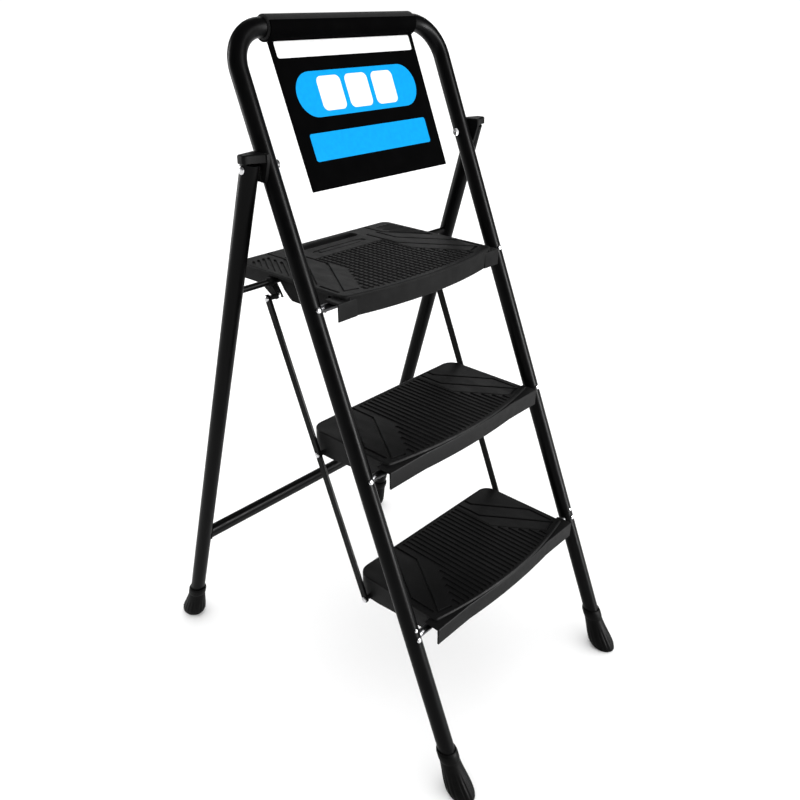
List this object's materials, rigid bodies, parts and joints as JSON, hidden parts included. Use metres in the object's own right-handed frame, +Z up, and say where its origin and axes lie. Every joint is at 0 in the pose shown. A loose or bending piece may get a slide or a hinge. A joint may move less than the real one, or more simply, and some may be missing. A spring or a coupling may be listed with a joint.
{
  "type": "folding step ladder",
  "caption": "Folding step ladder with tube rails, moulded treads, a moulded platform, a high hand rail with foam grip and a rear frame hinged at the rails.",
  "frame": {"origin": "on the floor under the middle of the ladder's overall box", "axes": "+Z up, -Y the side a person climbs from, X across the ladder"},
  "size_m": [0.5806, 0.7342, 1.1294],
  "materials": {
    "rail_steel": "black satin powder coat on steel tube",
    "bar_steel": "black satin paint on steel bar and rod",
    "step_plastic": "charcoal moulded plastic, lightly textured",
    "platform_plastic": "dark grey moulded plastic, lightly textured",
    "bracket_plastic": "black moulded plastic",
    "foot_rubber": "black matt rubber",
    "grip_foam": "black foam rubber",
    "board_plastic": "black sheet plastic with a printed front",
    "rod_zinc": "dull dark zinc plate",
    "rivet_zinc": "bright zinc plate"
  },
  "bodies": {
    "front": {"front_frame": "rail_steel", "front_foot_left": "foot_rubber", "front_foot_right": "foot_rubber", "handle_grip": "grip_foam", "info_board": "board_plastic", "step_rod_1": "rod_zinc", "step_rod_2": "rod_zinc", "platform_rod": "rod_zinc", "rod_rivet_1_left": "rivet_zinc", "rod_rivet_2_left": "rivet_zinc", "rod_rivet_3_left": "rivet_zinc", "rail_screw_left": "rivet_zinc", "hinge_bracket_left": "bracket_plastic", "hinge_pin_left": "rivet_zinc", "rod_rivet_1_right": "rivet_zinc", "rod_rivet_2_right": "rivet_zinc", "rod_rivet_3_right": "rivet_zinc", "rail_screw_right": "rivet_zinc", "hinge_bracket_right": "bracket_plastic", "hinge_pin_right": "rivet_zinc"},
    "rear": {"rear_leg_left": "rail_steel", "rear_leg_right": "rail_steel", "rear_foot_left": "foot_rubber", "rear_foot_right": "foot_rubber", "rear_cross_bar": "rail_steel", "rear_rod": "bar_steel"},
    "platform": {"platform_tread": "platform_plastic", "platform_rod_clip_left": "step_plastic", "platform_rod_clip_right": "step_plastic", "platform_link_pin_left": "rivet_zinc", "platform_link_pin_right": "rivet_zinc"},
    "step_2": {"step_tread_2": "step_plastic", "step_2_rod_clip_left": "step_plastic", "step_2_rod_clip_right": "step_plastic", "step_2_link_pin_left": "rivet_zinc", "step_2_link_pin_right": "rivet_zinc"},
    "step_1": {"step_tread_1": "step_plastic", "step_1_rod_clip_left": "step_plastic", "step_1_rod_clip_right": "step_plastic", "step_1_link_pin_left": "rivet_zinc", "step_1_link_pin_right": "rivet_zinc"},
    "link_left": {"link_bar_left": "bar_steel"},
    "link_right": {"link_bar_right": "bar_steel"}
  },
  "joints": [
    {"name": "rear_fold", "type": "hinge", "parent": "front", "child": "rear", "pos_m": [0, 0.05135, 0.942], "axis": [-1, 0, 0], "range_deg": [0, 34]},
    {"name": "platform_lift", "type": "hinge", "parent": "front", "child": "platform", "pos_m": [0, -0.02921, 0.7475], "axis": [1, 0, 0], "range_deg": [0, 57]},
    {"name": "step_2_lift", "type": "hinge", "parent": "front", "child": "step_2", "pos_m": [0, -0.13028, 0.5035], "axis": [1, 0, 0], "range_deg": [0, 57]},
    {"name": "step_1_lift", "type": "hinge", "parent": "front", "child": "step_1", "pos_m": [0, -0.23135, 0.2595], "axis": [1, 0, 0], "range_deg": [0, 57]},
    {"name": "link_left_pivot", "type": "hinge", "parent": "platform", "child": "link_left", "pos_m": [-0.191, 0.10549, 0.7285], "axis": [1, 0, 0], "range_deg": [-57, 0]},
    {"name": "link_right_pivot", "type": "hinge", "parent": "platform", "child": "link_right", "pos_m": [0.191, 0.10549, 0.7285], "axis": [1, 0, 0], "range_deg": [-57, 0]}
  ],
  "couplings": [
    {"joint": "step_2_lift", "follows": "platform_lift", "ratio": 1},
    {"joint": "step_1_lift", "follows": "platform_lift", "ratio": 1},
    {"joint": "link_left_pivot", "follows": "platform_lift", "ratio": -1},
    {"joint": "link_right_pivot", "follows": "platform_lift", "ratio": -1},
    {"joint": "rear_fold", "follows": "platform_lift", "ratio": 0.5964}
  ]
}
